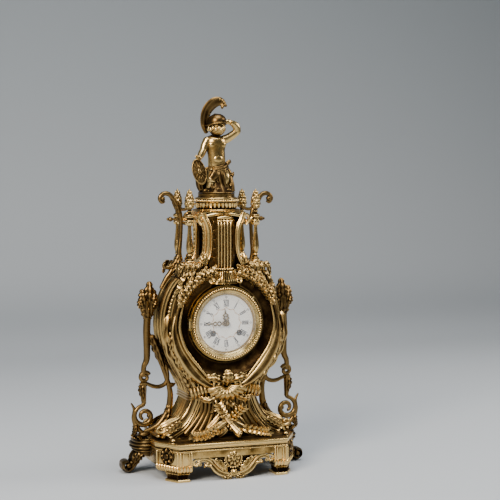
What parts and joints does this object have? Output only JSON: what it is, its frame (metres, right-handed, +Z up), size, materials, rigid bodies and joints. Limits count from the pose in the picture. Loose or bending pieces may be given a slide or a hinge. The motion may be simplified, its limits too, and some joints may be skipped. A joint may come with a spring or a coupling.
{
  "type": "mantel clock",
  "caption": "Cast bronze mantel clock with a waisted case, scrolled side brackets, an open tower with a figure, hinged bezel, rear door, geared movement, bell and pendulum.",
  "frame": {"origin": "centre of the outline on the surface the clock stands on", "axes": "+Z up, the dial faces -Y, +X to the viewer's right, X = 0 is the plane of symmetry of the case"},
  "size_m": [0.258, 0.1158, 0.4991],
  "materials": {
    "gilt_bronze": "cast bronze, mercury-gilt tone, worn bright on edges, dark in recesses",
    "patinated_bronze": "cast bronze with brown patina, rubbed on high points",
    "dark_bronze": "cast bronze with near-black brown patina",
    "clock_brass": "turned and lacquered brass",
    "polished_steel": "polished steel",
    "dial_enamel": "white vitreous enamel with dark blue numerals",
    "bezel_glass": "clear domed glass",
    "gilt_hands": "pierced gilt brass"
  },
  "bodies": {
    "clock_case": {"base_casting": "gilt_bronze", "front_apron": "gilt_bronze", "left_rosette": "patinated_bronze", "right_rosette": "patinated_bronze", "left_front_foot": "gilt_bronze", "right_front_foot": "gilt_bronze", "left_rear_scroll_foot": "dark_bronze", "right_rear_scroll_foot": "dark_bronze", "trophy_mount": "patinated_bronze", "case_body": "patinated_bronze", "dial_surround": "gilt_bronze", "waist_mask": "gilt_bronze", "left_side_bracket": "dark_bronze", "right_side_bracket": "dark_bronze", "left_s_handle": "dark_bronze", "right_s_handle": "dark_bronze", "tower_frame": "gilt_bronze", "front_lattice": "dark_bronze", "lyre_colonnette": "gilt_bronze", "left_shoulder_plinth": "patinated_bronze", "right_shoulder_plinth": "patinated_bronze", "front_left_baluster": "gilt_bronze", "front_right_baluster": "gilt_bronze", "rear_left_baluster": "gilt_bronze", "rear_right_baluster": "gilt_bronze", "front_left_finial": "patinated_bronze", "front_right_finial": "patinated_bronze", "rear_left_finial": "patinated_bronze", "rear_right_finial": "patinated_bronze", "top_pedestal": "gilt_bronze", "figure": "patinated_bronze", "figure_shield": "patinated_bronze", "movement_front_plate": "clock_brass", "movement_back_plate": "clock_brass", "movement_ring": "clock_brass", "dial": "dial_enamel", "bezel_hinge_pin": "polished_steel", "rear_ring": "clock_brass", "rear_hinge_pin": "polished_steel", "suspension_cock": "clock_brass", "bell": "clock_brass", "bell_post": "polished_steel"},
    "minute_arbor": {"centre_wheel": "clock_brass", "cannon_pinion": "polished_steel", "minute_hand": "gilt_hands"},
    "hour_pipe": {"hour_wheel": "clock_brass", "hour_hand": "gilt_hands"},
    "motion_wheel": {"minute_wheel": "clock_brass"},
    "going_barrel_body": {"going_barrel": "clock_brass"},
    "going_arbor_body": {"going_winding_arbor": "polished_steel"},
    "strike_barrel_body": {"strike_barrel": "clock_brass"},
    "strike_arbor_body": {"strike_winding_arbor": "polished_steel"},
    "third_body": {"third_wheel": "clock_brass"},
    "escape_body": {"escape_wheel": "clock_brass"},
    "anchor_body": {"pallet_anchor": "polished_steel"},
    "pendulum_body": {"pendulum": "clock_brass"},
    "hammer_body": {"hammer": "polished_steel"},
    "bezel_door": {"bezel_ring": "gilt_bronze", "bezel_glass": "bezel_glass"},
    "back_door": {"rear_door": "clock_brass"}
  },
  "joints": [
    {"name": "minute_hand_turn", "type": "hinge", "parent": "clock_case", "child": "minute_arbor", "pos_m": [0, -0.0049, 0.2003], "axis": [0, 1, 0], "continuous": true},
    {"name": "hour_hand_turn", "type": "hinge", "parent": "clock_case", "child": "hour_pipe", "pos_m": [0, -0.0209, 0.2003], "axis": [0, 1, 0], "continuous": true},
    {"name": "motion_wheel_turn", "type": "hinge", "parent": "clock_case", "child": "motion_wheel", "pos_m": [0, -0.0179, 0.1883], "axis": [0, 1, 0], "continuous": true},
    {"name": "going_barrel_turn", "type": "hinge", "parent": "clock_case", "child": "going_barrel_body", "pos_m": [0.018, -0.0049, 0.1873], "axis": [0, 1, 0], "continuous": true},
    {"name": "third_wheel_turn", "type": "hinge", "parent": "clock_case", "child": "third_body", "pos_m": [0.00739, 0.0001, 0.21421], "axis": [0, 1, 0], "continuous": true},
    {"name": "escape_wheel_turn", "type": "hinge", "parent": "clock_case", "child": "escape_body", "pos_m": [0, 0.0001, 0.22543], "axis": [0, 1, 0], "continuous": true},
    {"name": "strike_barrel_turn", "type": "hinge", "parent": "clock_case", "child": "strike_barrel_body", "pos_m": [-0.018, -0.0049, 0.1873], "axis": [0, 1, 0], "continuous": true},
    {"name": "going_winding", "type": "hinge", "parent": "clock_case", "child": "going_arbor_body", "pos_m": [0.018, -0.0049, 0.1873], "axis": [0, 1, 0], "continuous": true},
    {"name": "strike_winding", "type": "hinge", "parent": "clock_case", "child": "strike_arbor_body", "pos_m": [-0.018, -0.0049, 0.1873], "axis": [0, 1, 0], "continuous": true},
    {"name": "pendulum_swing", "type": "hinge", "parent": "clock_case", "child": "pendulum_body", "pos_m": [0, 0.0188, 0.2373], "axis": [0, 1, 0], "range_deg": [-3.5, 3.5]},
    {"name": "anchor_rock", "type": "hinge", "parent": "clock_case", "child": "anchor_body", "pos_m": [0, 0.0151, 0.2373], "axis": [0, 1, 0], "range_deg": [-3.5, 3.5]},
    {"name": "hammer_swing", "type": "hinge", "parent": "clock_case", "child": "hammer_body", "pos_m": [-0.026, 0.0251, 0.2183], "axis": [0, 1, 0], "range_deg": [0, 14]},
    {"name": "bezel_open", "type": "hinge", "parent": "clock_case", "child": "bezel_door", "pos_m": [-0.0509, -0.0279, 0.2003], "axis": [0, 0, -1], "range_deg": [0, 100]},
    {"name": "rear_door_open", "type": "hinge", "parent": "clock_case", "child": "back_door", "pos_m": [0.0474, 0.055, 0.2003], "axis": [0, 0, -1], "range_deg": [0, 110]}
  ],
  "couplings": [
    {"joint": "hour_hand_turn", "follows": "minute_hand_turn", "ratio": 0.083333},
    {"joint": "motion_wheel_turn", "follows": "minute_hand_turn", "ratio": -0.33333},
    {"joint": "going_barrel_turn", "follows": "minute_hand_turn", "ratio": -0.16667},
    {"joint": "third_wheel_turn", "follows": "minute_hand_turn", "ratio": -5},
    {"joint": "escape_wheel_turn", "follows": "minute_hand_turn", "ratio": 25},
    {"joint": "anchor_rock", "follows": "pendulum_swing", "ratio": 1}
  ]
}
